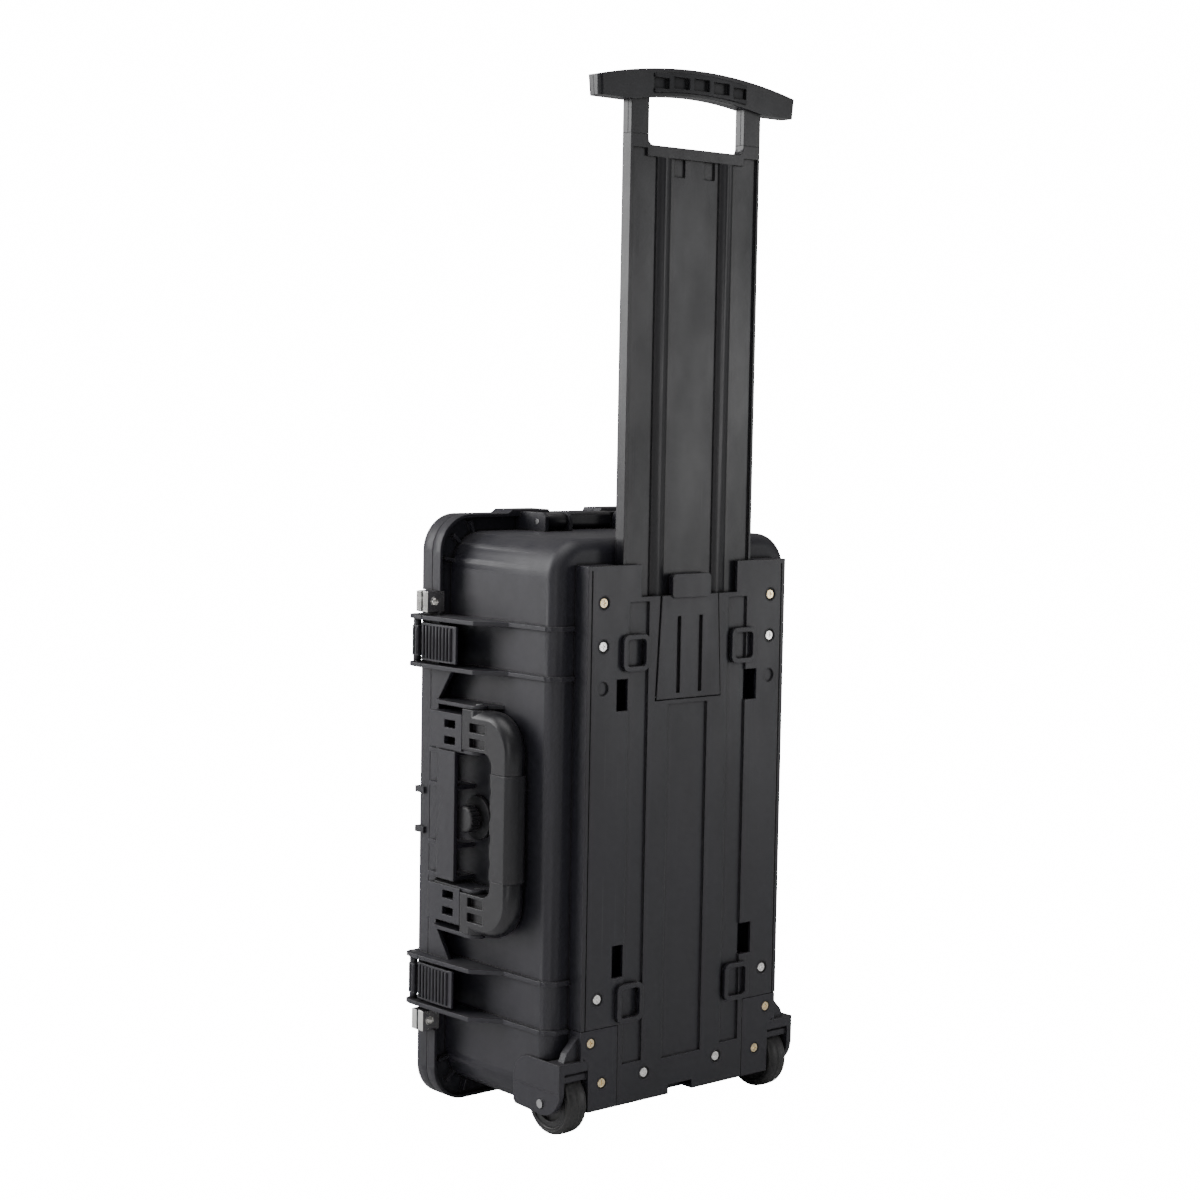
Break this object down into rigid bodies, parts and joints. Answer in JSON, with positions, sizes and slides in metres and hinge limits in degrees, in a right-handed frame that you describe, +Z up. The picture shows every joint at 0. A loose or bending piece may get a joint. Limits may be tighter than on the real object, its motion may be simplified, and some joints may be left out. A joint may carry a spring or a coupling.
{
  "type": "rolling tool box",
  "caption": "Upright wheeled hard case with a hinged lid, draw latches, swinging carry handles and a telescoping trolley handle.",
  "frame": {"origin": "centre of the bottom of the bounding box, on the floor under the standing case", "axes": "+Z up along the height, -Y towards the trolley handle side, +Y towards the lid, +X towards the lid hinge, -X towards the latches and carry handle"},
  "size_m": [0.351, 0.229, 0.966],
  "materials": {
    "shell": "fine-textured injection moulded polypropylene",
    "trolley": "satin injection moulded plastic",
    "handle": "satin moulded nylon",
    "overmould": "soft rubber overmould",
    "seal": "closed-cell sealing rubber",
    "latch": "satin moulded plastic",
    "wheel_hub": "moulded nylon",
    "tyre": "solid urethane tread",
    "steel": "plated steel",
    "stainless": "bright stainless sheet",
    "nickel": "nickel plated screw",
    "brass": "yellow passivated screw",
    "spring": "spring steel"
  },
  "bodies": {
    "case": {"base_shell": "shell", "base_padlock_plates": "stainless", "base_padlock_eyelets": "stainless", "valve_body": "handle", "valve_oring": "seal", "valve_nut": "handle", "side_handle_pins": "steel", "top_handle_pins": "steel", "trolley_cover": "trolley", "guide_rail_left": "trolley", "guide_rail_right": "trolley", "bumper_ring_upper_left": "trolley", "bumper_ring_upper_right": "trolley", "bumper_ring_lower_left": "trolley", "bumper_ring_lower_right": "trolley", "release_pin": "steel", "release_spring": "spring", "wheel_bracket_left": "trolley", "wheel_bracket_right": "trolley", "axle_left": "steel", "axle_right": "steel", "wheel_spacers_left": "wheel_hub", "wheel_spacers_right": "wheel_hub", "cover_screws_bright": "nickel", "cover_screws_brass": "brass", "bracket_screws": "brass", "threaded_inserts": "brass", "hinge_pins": "steel"},
    "lid": {"lid_shell": "shell", "lid_gasket": "seal", "lid_padlock_plates": "stainless", "lid_padlock_eyelets": "stainless", "latch_hook_pin_upper": "steel", "latch_hook_pin_lower": "steel"},
    "hook_upper": {"latch_hook_upper": "latch", "latch_lever_pin_upper": "steel"},
    "hook_lower": {"latch_hook_lower": "latch", "latch_lever_pin_lower": "steel"},
    "lever_upper": {"latch_lever_upper": "latch"},
    "lever_lower": {"latch_lever_lower": "latch"},
    "side_handle": {"side_handle_frame": "handle", "side_handle_grip": "overmould"},
    "top_handle": {"top_handle_frame": "handle", "top_handle_grip": "overmould"},
    "release": {"release_lever": "handle"},
    "slide": {"trolley_sled": "trolley", "grip_front_shell": "handle", "grip_rear_shell": "handle", "grip_insert": "overmould", "grip_screws": "nickel"},
    "wheel_left": {"wheel_hub_left": "wheel_hub", "tyre_left": "tyre"},
    "wheel_right": {"wheel_hub_right": "wheel_hub", "tyre_right": "tyre"},
    "valve": {"valve_knob": "handle"}
  },
  "joints": [
    {"name": "lid_hinge", "type": "hinge", "parent": "case", "child": "lid", "pos_m": [0.168, 0.0675, 0.2795], "axis": [0, 0, -1], "range_deg": [0, 105]},
    {"name": "side_handle_swing", "type": "hinge", "parent": "case", "child": "side_handle", "pos_m": [-0.1615, -0.004, 0.2795], "axis": [0, 0, -1], "range_deg": [0, 95]},
    {"name": "top_handle_swing", "type": "hinge", "parent": "case", "child": "top_handle", "pos_m": [0, 0.0295, 0.5523], "axis": [1, 0, 0], "range_deg": [0, 95]},
    {"name": "handle_slide", "type": "slide", "parent": "case", "child": "slide", "axis": [0, 0, 1], "range_m": [-0.396, 0]},
    {"name": "release_press", "type": "hinge", "parent": "case", "child": "release", "pos_m": [0, -0.1089, 0.3975], "axis": [1, 0, 0], "range_deg": [0, 4], "stiffness_Nm_per_rad": 2, "springref_deg": -1.72},
    {"name": "wheel_spin_left", "type": "hinge", "parent": "case", "child": "wheel_left", "pos_m": [-0.1275, -0.0835, 0.031], "axis": [-1, 0, 0], "continuous": true},
    {"name": "wheel_spin_right", "type": "hinge", "parent": "case", "child": "wheel_right", "pos_m": [0.1275, -0.0835, 0.031], "axis": [-1, 0, 0], "continuous": true},
    {"name": "valve_turn", "type": "hinge", "parent": "case", "child": "valve", "pos_m": [-0.16, 0.0125, 0.2795], "axis": [-1, 0, 0], "range_deg": [0, 180]},
    {"name": "latch_hook_swing_upper", "type": "hinge", "parent": "lid", "child": "hook_upper", "pos_m": [-0.1682, 0.0835, 0.4405], "axis": [0, 0, -1], "range_deg": [0, 85]},
    {"name": "latch_lever_pull_upper", "type": "hinge", "parent": "hook_upper", "child": "lever_upper", "pos_m": [-0.1682, 0.0705, 0.4405], "axis": [0, 0, -1], "range_deg": [0, 55]},
    {"name": "latch_hook_swing_lower", "type": "hinge", "parent": "lid", "child": "hook_lower", "pos_m": [-0.1682, 0.0835, 0.1185], "axis": [0, 0, -1], "range_deg": [0, 85]},
    {"name": "latch_lever_pull_lower", "type": "hinge", "parent": "hook_lower", "child": "lever_lower", "pos_m": [-0.1682, 0.0705, 0.1185], "axis": [0, 0, -1], "range_deg": [0, 55]}
  ]
}
